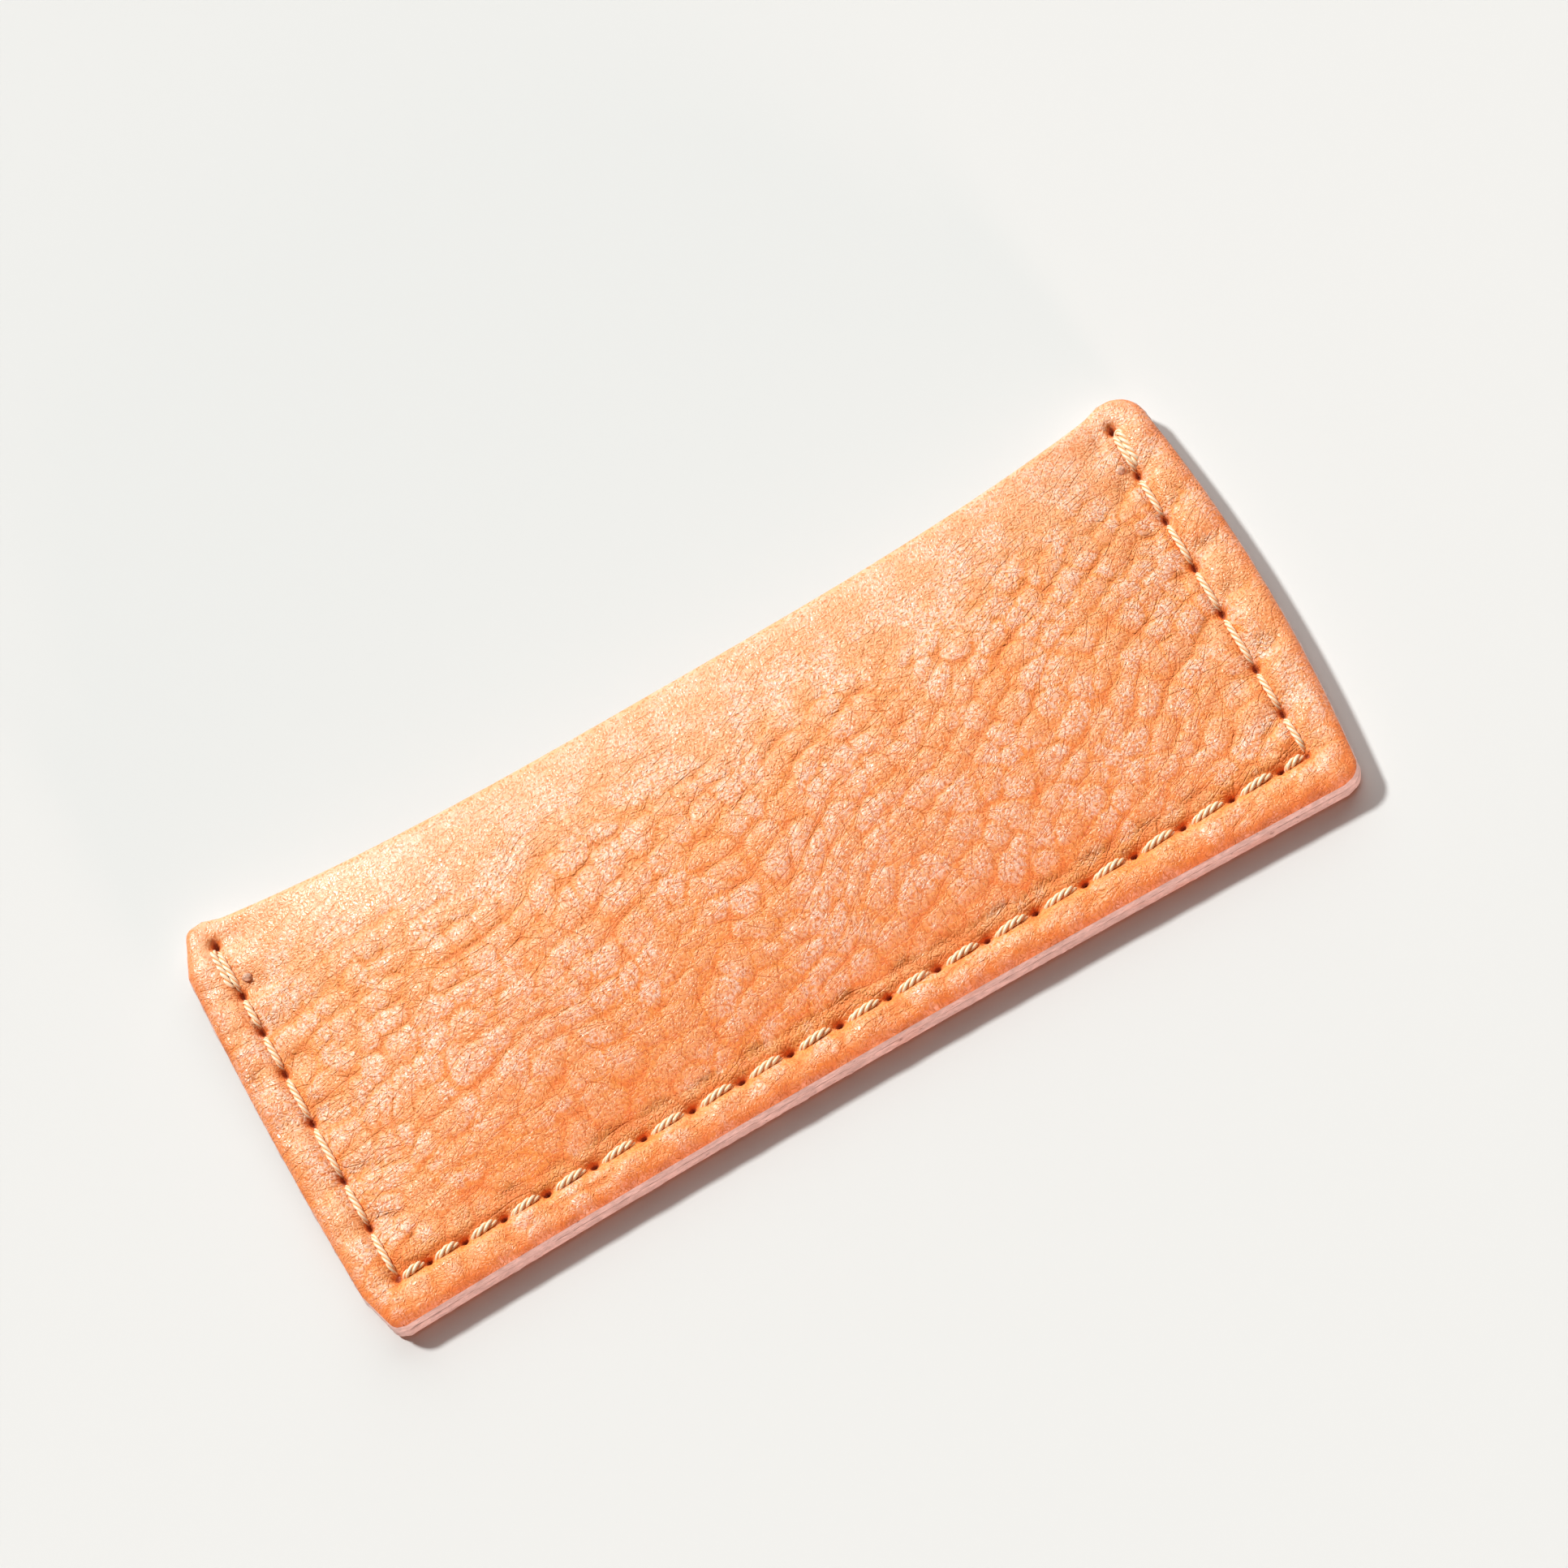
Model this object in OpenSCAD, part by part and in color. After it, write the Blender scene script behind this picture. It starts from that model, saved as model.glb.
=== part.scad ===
// Sewn leather card holder, in millimetres, lying on its back panel with +Z up.
// Origin: middle of the back panel's outer face. X runs along the long seam and the mouth faces +Y.

/* [Leather] */
// Length over the widest part of the short sides
length = 98.7; // [96:0.1:104]
// Depth from the long seam's cut edge to the mouth's corners
depth = 42.8; // [40:0.2:50]
// Thickness of one layer of leather
leather_t = 1.6; // [1.4:0.1:1.8]
// Height that the front panel stands above its own rim
puff = 5.8; // [5.4:0.1:6.6]
// Share of that height that is left at the mouth
mouth_lift = 0.85; // [0.84:0.01:1]
// Depth of the shallow curve that is cut into the mouth
mouth_dip = 4.8; // [3:0.1:5]
// Depth of the slight hollow in the long stitched side
foot_hollow = 0.7; // [0:0.1:1]
// Height of the slight bulge of the left short side
left_bulge = 0.3; // [0:0.1:1.5]
// Height of the bulge of the right short side
right_bulge = 1.2; // [0:0.1:1.5]
// Radius of the right corner at the mouth
right_corner_r = 3; // [2:0.5:4]
// Radius of the left corner at the mouth, which is trimmed at a slant below it
left_corner_r = 1; // [0.5:0.1:1.5]
// Width of that slanting trim, along the mouth
trim_x = 1.8; // [1:0.1:2]
// Height of the trim, down the short side
trim_y = 4.2; // [3:0.1:5]
// Radius of the left corner at the long seam, which is trimmed at a slant above it
left_foot_r = 1.2; // [0.6:0.1:1.6]
// Width of that slanting trim, along the long side
foot_trim_x = 1.2; // [1:0.1:2]
// Height of the trim, up the short side
foot_trim_y = 4.4; // [3:0.2:5]
// Radius of the right corner at the long seam
right_foot_r = 2; // [1.5:0.5:3]

/* [Seam] */
// Distance from the cut edge to the needle holes along the short sides
seam_inset = 3.4; // [3:0.1:4]
// Distance from the cut edge to the needle holes along the long side
long_inset = 4.1; // [3.5:0.1:4.5]
// Distance from the mouth's corner to the first needle hole
first_hole = 2.8; // [2.6:0.1:4]
// Stitches along the long side
long_stitches = 20; // [18:1:22]
// Radius of a needle hole
hole_r = 0.62; // [0.6:0.01:0.8]

/* [Thread] */
// Radius of the thread where it lies on the leather
thread_r = 0.33; // [0.3:0.01:0.36]
// Radius of the thread where a hole squeezes it
squeezed_r = 0.26; // [0.2:0.01:0.28]
// Sides of the thread's cross section
thread_sides = 8; // [6:1:10]

/* [Hidden] */

half_l = length / 2;
half_d = depth / 2;
left_x = left_bulge - half_l;             // the left corners
right_x = half_l - right_bulge;           // the right corners
mid_x = (left_x + right_x) / 2;
seam_half = (right_x - left_x) / 2 - seam_inset;
seam_ends = [mid_x - seam_half, mid_x + seam_half];   // the short seams' needle holes
seam_y = -half_d + long_inset;            // the long seam's needle holes
top_hole_y = half_d - first_hole;         // the needle holes nearest the mouth

band = 1.6;                               // leather that lies flat inside the seam
flat_half = seam_half - band;             // the puffed area's half length
flat_y = seam_y + band;                   // and where it starts
crest = 0.65;                             // where the front is highest, from 0 at flat_y to 1 at the mouth
columns = 32;
rows = 12;
margin = 1;                               // how far the untrimmed sheet passes the outline

layers = 2 * leather_t;
top_groove = 0.35;                        // the stitches sink this far into the front
back_groove = 0.75;                       // and this far into the back, to stay clear of what it lies on
lie_gap = 0.02;                           // between the thread and what it lies on
floor_gap = 0.05;                         // between the thread and the floor
top_run_z = layers - top_groove + thread_r + lie_gap;
back_run_z = thread_r + floor_gap;
leg_offset = 0.22;                        // each needle's thread keeps to its own side of a hole

leather_colour = [0.94, 0.62, 0.40];
thread_colour = [0.93, 0.72, 0.52];
melted_colour = [0.80, 0.50, 0.36];

// ---- Outline of both panels ----

function mouth_y(x) = half_d - mouth_dip * (1 - pow(min(1, abs(x - mid_x) / seam_half), mouth_power));
function foot_y(x) = -half_d + foot_hollow * (1 - pow(min(1, abs(x - mid_x) / foot_half), 2));
// 1 midway between low and high and 0 at both
function bow(y, low, high) = 1 - pow((2 * y - low - high) / (high - low), 2);

arc_steps = 6;
function arc(x, y, r, start, sweep = 90) =
    [for (k = [0:arc_steps]) let (a = start + sweep * k / arc_steps) [x + r * cos(a), y + r * sin(a)]];

mouth_power = 3.5;                        // the mouth's curve is flat in the middle and steep at its ends
foot_turn = atan2(foot_trim_y, foot_trim_x);
foot_left = left_x + foot_trim_x + left_foot_r * tan(foot_turn / 2);
foot_half = (right_x - left_x) / 2 - max(foot_left - left_x, right_foot_r);
left_low = -half_d + foot_trim_y;
right_low = -half_d + right_foot_r;
right_high = half_d - right_corner_r;
left_high = half_d - trim_y;
trim_turn = atan2(trim_y, trim_x);        // the outline turns this far at the left mouth corner
mouth_left = left_x + trim_x + left_corner_r * tan(trim_turn / 2);
mouth_right = right_x - right_corner_r;
outline_steps = 12;

function side_ys(low, high) = [for (k = [1:outline_steps - 1]) low + (high - low) * k / outline_steps];
function between_xs(left, right) =
    [for (k = [1:2 * outline_steps - 1]) left + (right - left) * k / (2 * outline_steps)];

outline = concat(
    arc(right_x - right_foot_r, right_low, right_foot_r, -90),
    [for (y = side_ys(right_low, right_high)) [right_x + right_bulge * bow(y, right_low, right_high), y]],
    arc(mouth_right, right_high, right_corner_r, 0),
    [for (x = between_xs(mouth_right, mouth_left)) [x, mouth_y(x)]],
    arc(mouth_left, half_d - left_corner_r, left_corner_r, 90, trim_turn),
    [for (y = side_ys(left_high, left_low)) [left_x - left_bulge * bow(y, left_low, left_high), y]],
    arc(foot_left, -half_d + left_foot_r, left_foot_r, 270 - foot_turn, foot_turn),
    [for (x = between_xs(foot_left, right_x - right_foot_r)) [x, foot_y(x)]]);

// ---- Needle holes, in sewing order from the left end of the mouth ----

// The short sides were pricked by hand, so their stitches differ: the shares of each, from the mouth down
left_shares = [1.04, 0.78, 0.88, 1.04, 1.2, 1, 1.08];
right_shares = [0.96, 0.98, 1.03, 1, 1.18, 0.96, 0.9];
side_stitches = len(left_shares);

// The long side's stitches start short at the left corner, grow to full length and end on one short stitch.
growing_stitches = 5;
first_share = 0.64;
share_step = 0.08;
last_share = 0.55;
long_shares = [for (k = [0:long_stitches - 1])
    k < growing_stitches ? first_share + share_step * k : k == long_stitches - 1 ? last_share : 1];

function sum_of(shares, n) = n == 0 ? 0 : shares[n - 1] + sum_of(shares, n - 1);
// Where hole k lies along a side, from 0 at its start to 1 at its end
function hole_at(shares, k) = sum_of(shares, k) / sum_of(shares, len(shares));
function side_y(shares, k) = top_hole_y - (top_hole_y - seam_y) * hole_at(shares, k);

left_holes = [for (k = [0:side_stitches]) [seam_ends[0], side_y(left_shares, k)]];
long_holes = [for (k = [1:long_stitches]) [seam_ends[0] + 2 * seam_half * hole_at(long_shares, k), seam_y]];
right_holes = [for (k = [side_stitches - 1:-1:0]) [seam_ends[1], side_y(right_shares, k)]];
holes = concat(left_holes, long_holes, right_holes);

module needle_holes() {
    for (h = holes)
        translate([h[0], h[1], -1]) cylinder(r = hole_r, h = layers + 2, $fn = 24);
}

// A groove for the stitches: one along each short side, and the long one between them
module seam_grooves(z, deep) {
    wide = 2 * hole_r;
    for (x = seam_ends)
        translate([x - wide / 2, seam_y - wide / 2, z])
            cube([wide, top_hole_y - seam_y + wide, deep]);
    translate([seam_ends[0], seam_y - wide / 2, z]) cube([2 * seam_half, wide, deep]);
}

// ---- Leather ----

function across(v) =
    v < crest ? 1 - pow(1 - v / crest, 2) : 1 - (1 - mouth_lift) * pow((min(v, 1) - crest) / (1 - crest), 2);
function along(x) = 1 - pow(min(1, abs(x - mid_x) / flat_half), 4);
function rise(x, v) = puff * along(x) * across(v);

// Grid of the puffed sheet: column x by column x, from below the long edge to past the mouth.
sheet_x = concat(
    [-half_l - margin],
    [for (i = [0:columns]) mid_x + flat_half * (2 * i / columns - 1)],
    [half_l + margin]);
function sheet_column(x, z) = concat(
    [[x, -half_d - margin, z]],
    [for (j = [0:rows]) [x, flat_y + (mouth_y(x) - flat_y) * j / rows, z + rise(x, j / rows)]],
    [[x, half_d + margin, z + rise(x, 1)]]);
per_column = rows + 3;
per_face = len(sheet_x) * per_column;
sheet_points = concat(
    [for (x = sheet_x) each sheet_column(x, layers)],
    [for (x = sheet_x) each sheet_column(x, leather_t)]);

function cell(i, j) = i * per_column + j;
// The sheet's rim, once round
rim = concat(
    [for (i = [0:len(sheet_x) - 1]) cell(i, 0)],
    [for (j = [1:per_column - 1]) cell(len(sheet_x) - 1, j)],
    [for (i = [len(sheet_x) - 2:-1:0]) cell(i, per_column - 1)],
    [for (j = [per_column - 2:-1:1]) cell(0, j)]);
function rim_after(k) = rim[(k + 1) % len(rim)];
sheet_faces = concat(
    [for (i = [0:len(sheet_x) - 2], j = [0:per_column - 2]) [cell(i, j), cell(i + 1, j + 1), cell(i + 1, j)]],
    [for (i = [0:len(sheet_x) - 2], j = [0:per_column - 2]) [cell(i, j), cell(i, j + 1), cell(i + 1, j + 1)]],
    [for (i = [0:len(sheet_x) - 2], j = [0:per_column - 2])
        [for (c = [cell(i, j), cell(i + 1, j), cell(i + 1, j + 1)]) c + per_face]],
    [for (i = [0:len(sheet_x) - 2], j = [0:per_column - 2])
        [for (c = [cell(i, j), cell(i + 1, j + 1), cell(i, j + 1)]) c + per_face]],
    [for (k = [0:len(rim) - 1]) let (a = rim[k], b = rim_after(k)) [a, b, b + per_face]],
    [for (k = [0:len(rim) - 1]) let (a = rim[k], b = rim_after(k)) [a, b + per_face, a + per_face]]);

module front_panel() {
    color(leather_colour)
        difference() {
            intersection() {
                polyhedron(points = sheet_points, faces = sheet_faces);
                linear_extrude(height = layers + puff + 1) polygon(outline);
            }
            needle_holes();
            seam_grooves(layers - top_groove, top_groove + 1);
        }
}

module back_panel() {
    color(leather_colour)
        difference() {
            linear_extrude(height = leather_t) polygon(outline);
            needle_holes();
            seam_grooves(-1, back_groove + 1);
        }
}

// ---- Thread ----

run_shares = [0.25, 0.5, 0.75];           // where the path has points between two holes
function unit(a) = a / norm(a);

// Path of one needle: over the leather on every other stitch and under it on the rest.
// phase 0 starts over the front, phase 1 starts under the back. side keeps it to its half of each hole.
function needle_path(phase, side) = [
    for (k = [0:len(holes) - 1])
        let (
            here = holes[k] + side * [leg_offset, leg_offset],
            next = k < len(holes) - 1 ? holes[k + 1] + side * [leg_offset, leg_offset] : here,
            over = (k + phase) % 2 == 0,
            from_z = over ? back_run_z : top_run_z,
            to_z = over ? top_run_z : back_run_z
        )
        each concat(
            [[here[0], here[1], from_z, squeezed_r], [here[0], here[1], (from_z + to_z) / 2, squeezed_r]],
            [[here[0], here[1], to_z, squeezed_r]],
            k == len(holes) - 1
                ? []
                : [for (s = run_shares) concat(here + (next - here) * s, [to_z, thread_r])])
];

function place(p) = [p[0], p[1], p[2]];
function tangent(path, i) =
    unit(place(path[min(i + 1, len(path) - 1)]) - place(path[max(i - 1, 0)]));
// The ring's first direction is carried along the path, so that the tube never twists.
function carry(path, i, u) =
    let (t = tangent(path, i), here = unit(u - (u * t) * t))
    i == len(path) - 1 ? [here] : concat([here], carry(path, i + 1, here));
function tube_points(path) =
    let (first = carry(path, 0, [1, 0, 0]))
    [for (i = [0:len(path) - 1])
        let (u = first[i], w = cross(tangent(path, i), u))
        for (s = [0:thread_sides - 1])
            let (a = 360 * s / thread_sides) place(path[i]) + path[i][3] * (cos(a) * u + sin(a) * w)];
function tube_faces(n) = concat(
    [[for (s = [0:thread_sides - 1]) s]],
    [for (i = [0:n - 2], s = [0:thread_sides - 1])
        let (a = i * thread_sides, b = a + thread_sides, q = (s + 1) % thread_sides) [a + s, b + s, b + q]],
    [for (i = [0:n - 2], s = [0:thread_sides - 1])
        let (a = i * thread_sides, b = a + thread_sides, q = (s + 1) % thread_sides) [a + s, b + q, a + q]],
    [[for (s = [thread_sides - 1:-1:0]) (n - 1) * thread_sides + s]]);

module swept_thread(path) {
    polyhedron(points = tube_points(path), faces = tube_faces(len(path)));
}

module needle_a_thread() { color(thread_colour) swept_thread(needle_path(0, 1)); }
module needle_b_thread() { color(thread_colour) swept_thread(needle_path(1, -1)); }

// A short length of thread with round ends, lying along Y
module lying_stitch(long) {
    bend = [for (k = [0:6]) 15 * k];
    rotate([90, 0, 0]) translate([0, 0, -long / 2])
        rotate_extrude($fn = 24)
            polygon(concat(
                [for (a = bend) [thread_r * sin(a), thread_r - thread_r * cos(a)]],
                [for (a = bend) [thread_r * cos(a), long - thread_r + thread_r * sin(a)]]));
}

// The seam's first and last stitch are sewn twice: a second length lies outside the first one.
back_stitch_gap = 0.03;
back_stitch_trim = 0.4;                   // it is this much shorter than the stitch that it doubles
back_stitch_offset = hole_r + thread_r + back_stitch_gap;
// The length of the stitch nearest the mouth, at the left end or the right end
function top_stitch(end) = top_hole_y - side_y([left_shares, right_shares][end], 1);
module back_stitch(end) {
    outwards = 2 * end - 1;
    x = seam_ends[end] + outwards * back_stitch_offset;
    color(thread_colour)
        translate([x, top_hole_y - top_stitch(end) / 2, layers + thread_r])
            lying_stitch(top_stitch(end) - back_stitch_trim);
}
module left_back_stitch() { back_stitch(0); }
module right_back_stitch() { back_stitch(1); }

// The cut thread is melted to a flat bead just above the second hole, on its inner side.
bead_r = 0.5;
bead_h = 0.4;
bead_at = 0.8;                            // share of the way down that stitch
bead_gap = 0.05;
module thread_end(end) {
    inwards = 1 - 2 * end;
    x = seam_ends[end] + inwards * (hole_r + bead_r + bead_gap);
    color(melted_colour)
        translate([x, top_hole_y - bead_at * top_stitch(end), layers])
            rotate_extrude($fn = 24)
                polygon(concat([[0, 0]], [for (k = [0:6]) [bead_r * cos(15 * k), bead_h * sin(15 * k)]]));
}
module left_thread_end() { thread_end(0); }
module right_thread_end() { thread_end(1); }

front_panel();
back_panel();
needle_a_thread();
needle_b_thread();
left_back_stitch();
right_back_stitch();
left_thread_end();
right_thread_end();
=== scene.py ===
"""Sewn leather card holder: the looks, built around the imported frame.

Lengths inside this file are in millimetres until a mesh is made. The frame and Blender's own objects are in
metres.
"""
import math

import bpy
import numpy as np
from bpy.props import FloatProperty, FloatVectorProperty, IntProperty, PointerProperty
from mathutils import Matrix, Vector


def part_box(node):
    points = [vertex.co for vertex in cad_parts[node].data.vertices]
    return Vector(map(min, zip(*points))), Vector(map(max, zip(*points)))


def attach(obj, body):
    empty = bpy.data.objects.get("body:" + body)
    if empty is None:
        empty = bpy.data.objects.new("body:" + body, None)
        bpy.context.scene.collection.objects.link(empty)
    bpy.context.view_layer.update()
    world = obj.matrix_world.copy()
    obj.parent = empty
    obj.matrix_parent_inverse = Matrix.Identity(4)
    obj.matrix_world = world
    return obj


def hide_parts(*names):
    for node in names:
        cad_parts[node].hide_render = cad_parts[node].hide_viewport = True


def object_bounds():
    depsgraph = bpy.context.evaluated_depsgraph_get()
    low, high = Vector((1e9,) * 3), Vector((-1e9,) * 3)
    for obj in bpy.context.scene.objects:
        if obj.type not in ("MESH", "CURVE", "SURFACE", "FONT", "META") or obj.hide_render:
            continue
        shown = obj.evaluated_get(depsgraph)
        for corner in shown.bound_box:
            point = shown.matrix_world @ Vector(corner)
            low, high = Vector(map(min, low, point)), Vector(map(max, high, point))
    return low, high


bl_info = {
    "name": "Sewn Card Holder",
    "version": (1, 0, 0),
    "blender": (4, 5, 0),
    "location": "3D View > Sidebar > Card Holder",
    "description": "Builds a leather card holder, its saddle stitch and a plain stage",
    "category": "Object",
}

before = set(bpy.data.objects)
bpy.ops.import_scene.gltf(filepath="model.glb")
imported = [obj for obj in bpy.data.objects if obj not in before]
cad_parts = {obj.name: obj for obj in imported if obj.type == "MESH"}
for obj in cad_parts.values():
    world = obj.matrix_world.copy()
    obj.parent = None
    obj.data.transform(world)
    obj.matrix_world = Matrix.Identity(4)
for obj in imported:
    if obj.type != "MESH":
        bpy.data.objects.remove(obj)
CAD_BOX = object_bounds()
MM = 0.001

# ---- Places that come from the frame, in millimetres ----


def node_box(name):
    """Lowest and highest corner of a CAD node."""
    low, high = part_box(name)
    return np.array(low) / MM, np.array(high) / MM


BACK_HIGH = node_box("back_panel")[1]
HALF_L, HALF_D, LEATHER = BACK_HIGH
RIM_Z = 2 * LEATHER
PUFF = node_box("front_panel")[1][2] - RIM_Z


# ---- What a user would change ----


class CardHolderLeather(bpy.types.PropertyGroup):
    """Sizes and colours of the two leather panels."""

    grain: FloatVectorProperty(
        name="Grain colour", description="Colour of the smooth outer side", subtype="COLOR",
        size=3, min=0, max=1, default=(0.98, 0.352, 0.081))
    # Also used for painted shade in the hollows, in and round the needle holes and at the sewn edges
    crease: FloatVectorProperty(
        name="Crease colour", description="Colour in the bottom of a crease", subtype="COLOR",
        size=3, min=0, max=1, default=(0.93, 0.222, 0.034))
    # Partly the colour of stretched grain, partly a painted highlight on the mound tops and the band by the
    # mouth
    pale: FloatVectorProperty(
        name="Pale grain", description="Colour of stretched smooth grain and of painted highlights", subtype="COLOR",
        size=3, min=0, max=1, default=(0.96, 0.475, 0.24))
    # Painted highlight: the pink-white glints that the key light would give on the mound tops
    painted_glint: FloatVectorProperty(
        name="Painted glint", description="Colour of the glints painted on the mound tops", subtype="COLOR",
        size=3, min=0, max=1, default=(1.0, 0.71, 0.55))
    cut: FloatVectorProperty(
        name="Cut edge", description="Colour of the raw cut edge", subtype="COLOR",
        size=3, min=0, max=1, default=(0.81, 0.59, 0.54))
    flesh: FloatVectorProperty(
        name="Flesh side", description="Colour of the rough inner side", subtype="COLOR",
        size=3, min=0, max=1, default=(0.62, 0.36, 0.22))
    pebble: FloatProperty(
        name="Pebble height", description="Height of the pebbled grain", subtype="DISTANCE",
        min=0, max=0.0004, default=0.0002)
    step: FloatProperty(
        name="Mesh step", description="Distance between the mesh's lines on the grain side",
        subtype="DISTANCE", min=0.0002, max=0.001, default=0.00025)


class CardHolderThread(bpy.types.PropertyGroup):
    """Sizes and colours of the sewing thread."""

    colour: FloatVectorProperty(
        name="Thread colour", description="Colour of the waxed thread", subtype="COLOR",
        size=3, min=0, max=1, default=(0.98, 0.82, 0.57))
    melted: FloatVectorProperty(
        name="Melted end", description="Colour of a melted thread end", subtype="COLOR",
        size=3, min=0, max=1, default=(0.82, 0.46, 0.30))
    ply_radius: FloatProperty(
        name="Ply radius", description="Radius of one of the thread's plies", subtype="DISTANCE",
        min=0.0001, max=0.0005, default=0.00023)
    plies: IntProperty(name="Plies", description="Number of twisted plies", min=2, max=4, default=3)
    turn: FloatProperty(
        name="Turn length", description="Length of one full turn of the twist", subtype="DISTANCE",
        min=0.001, max=0.01, default=0.0023)


class CardHolderStage(bpy.types.PropertyGroup):
    """Camera and light."""

    elevation: FloatProperty(
        name="Elevation", description="Height of the camera's line of sight", subtype="ANGLE",
        min=0, max=math.pi / 2, default=math.radians(66.2))
    azimuth: FloatProperty(
        name="Azimuth", description="Direction the camera stands in, from the long seam", subtype="ANGLE",
        min=-math.pi, max=math.pi, default=math.radians(-0.8))
    roll: FloatProperty(
        name="Roll", description="Turn of the camera about its own axis", subtype="ANGLE",
        min=-math.pi, max=math.pi, default=math.radians(29.2))
    distance: FloatProperty(
        name="Distance", description="From the camera to the holder", subtype="DISTANCE",
        min=0.2, max=3, default=0.9)
    field: FloatProperty(
        name="Field", description="Width that the picture takes in at the holder", subtype="DISTANCE",
        min=0.05, max=1, default=0.1358)
    floor: FloatVectorProperty(
        name="Floor colour", description="Colour of the plain floor", subtype="COLOR",
        size=3, min=0, max=1, default=(0.724, 0.746, 0.737))
    sun: FloatProperty(name="Sun", description="Strength of the key light", min=0, max=20, default=3.35)
    window: FloatProperty(
        name="Window", description="Strength of the broad light from behind", min=0, max=20, default=1.6)
    fill: FloatProperty(
        name="Fill", description="Strength of the soft light from the front", min=0, max=20, default=2.2)
    sky: FloatProperty(
        name="Sky", description="Strength of the light from overhead", min=0, max=5, default=0.074)
    surround: FloatProperty(
        name="Surround", description="Brightness of the backdrop beyond the floor",
        min=0, max=5, default=0.92)


# ---- Outline, as the CAD panels have it ----

MOUTH_DIP = 4.8          # depth of the curve cut into the mouth
MOUTH_POWER = 3.5
FOOT_HOLLOW = 0.7        # depth of the hollow in the long stitched side
LEFT_BULGE = 0.3
RIGHT_BULGE = 1.2
RIGHT_CORNER = 3.0       # corner radii
LEFT_CORNER = 1.0
LEFT_FOOT = 1.2
RIGHT_FOOT = 2.0
TRIM_X = 1.8             # slanting trim of the left mouth corner
TRIM_Y = 4.2
FOOT_TRIM_X = 1.2        # and of the left corner at the long seam
FOOT_TRIM_Y = 4.4
SEAM_INSET = 3.4         # from the cut edge to the needle holes along the short sides
LONG_INSET = 4.1         # and along the long side
FIRST_HOLE = 2.8         # from the mouth's corner to the first needle hole

LEFT_X = LEFT_BULGE - HALF_L
RIGHT_X = HALF_L - RIGHT_BULGE
MID_X = (LEFT_X + RIGHT_X) / 2
SEAM_HALF = (RIGHT_X - LEFT_X) / 2 - SEAM_INSET
SEAM_LEFT, SEAM_RIGHT = MID_X - SEAM_HALF, MID_X + SEAM_HALF
SEAM_Y = LONG_INSET - HALF_D
TOP_HOLE_Y = HALF_D - FIRST_HOLE
LEFT_FOOT_X = FOOT_TRIM_X + LEFT_FOOT * math.tan(math.atan2(FOOT_TRIM_Y, FOOT_TRIM_X) / 2)
FOOT_HALF = (RIGHT_X - LEFT_X) / 2 - max(LEFT_FOOT_X, RIGHT_FOOT)
LEFT_LOW = FOOT_TRIM_Y - HALF_D
RIGHT_LOW = RIGHT_FOOT - HALF_D


def mouth_y(x):
    return HALF_D - MOUTH_DIP * (1 - np.minimum(1, np.abs(x - MID_X) / SEAM_HALF) ** MOUTH_POWER)


def foot_y(x):
    return -HALF_D + FOOT_HOLLOW * (1 - np.minimum(1, np.abs(x - MID_X) / FOOT_HALF) ** 2)


def bow(y, low, high):
    """1 midway between low and high, and 0 at both and outside them."""
    return np.clip(1 - ((2 * y - low - high) / (high - low)) ** 2, 0, 1)


def rounded(distance, radius):
    """How far a rounded corner takes the outline in, at this distance into the corner."""
    return radius * (1 - np.sqrt(1 - np.clip(distance / radius, 0, 1) ** 2))


def trimmed(depth, trim_x, trim_y, radius):
    """How far a slanting trim with a rounded corner takes the outline in, this far from the corner."""
    turn = math.atan2(trim_y, trim_x)
    rise = radius - depth
    arc = trim_x + radius * math.tan(turn / 2) - np.sqrt(np.maximum(0, radius**2 - rise**2))
    return np.where(rise > radius * math.cos(turn), arc, trim_x * np.clip(1 - depth / trim_y, 0, 1))


def left_side(y):
    x = LEFT_X - LEFT_BULGE * bow(y, LEFT_LOW, HALF_D - TRIM_Y)
    by_mouth = trimmed(HALF_D - y, TRIM_X, TRIM_Y, LEFT_CORNER)
    return x + by_mouth + trimmed(y + HALF_D, FOOT_TRIM_X, FOOT_TRIM_Y, LEFT_FOOT)


def right_side(y):
    high = HALF_D - RIGHT_CORNER
    x = RIGHT_X + RIGHT_BULGE * bow(y, RIGHT_LOW, high)
    return x - rounded(RIGHT_LOW - y, RIGHT_FOOT) - rounded(y - high, RIGHT_CORNER)


# ---- Needle holes, in sewing order from the left end of the mouth ----

LEFT_SHARES = (1.04, 0.78, 0.88, 1.04, 1.2, 1, 1.08)        # hand pricked, so the stitches differ a little
RIGHT_SHARES = (0.9, 0.96, 1.18, 1, 1.03, 0.98, 0.96)
LONG_SHARES = [0.64 + 0.08 * k if k < 5 else 1.0 for k in range(19)] + [0.55]


def spread_holes(start, end, shares):
    """Points from start to end whose distances are in the given shares."""
    at = np.concatenate([[0], np.cumsum(shares)]) / sum(shares)
    return [np.array(start) + (np.array(end) - np.array(start)) * a for a in at]


LEFT_HOLES = spread_holes((SEAM_LEFT, TOP_HOLE_Y), (SEAM_LEFT, SEAM_Y), LEFT_SHARES)
LONG_HOLES = spread_holes((SEAM_LEFT, SEAM_Y), (SEAM_RIGHT, SEAM_Y), LONG_SHARES)
RIGHT_HOLES = spread_holes((SEAM_RIGHT, SEAM_Y), (SEAM_RIGHT, TOP_HOLE_Y), RIGHT_SHARES)
HOLES = np.array(LEFT_HOLES + LONG_HOLES[1:] + RIGHT_HOLES[1:])


# ---- Small tools for fields over the leather ----


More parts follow.
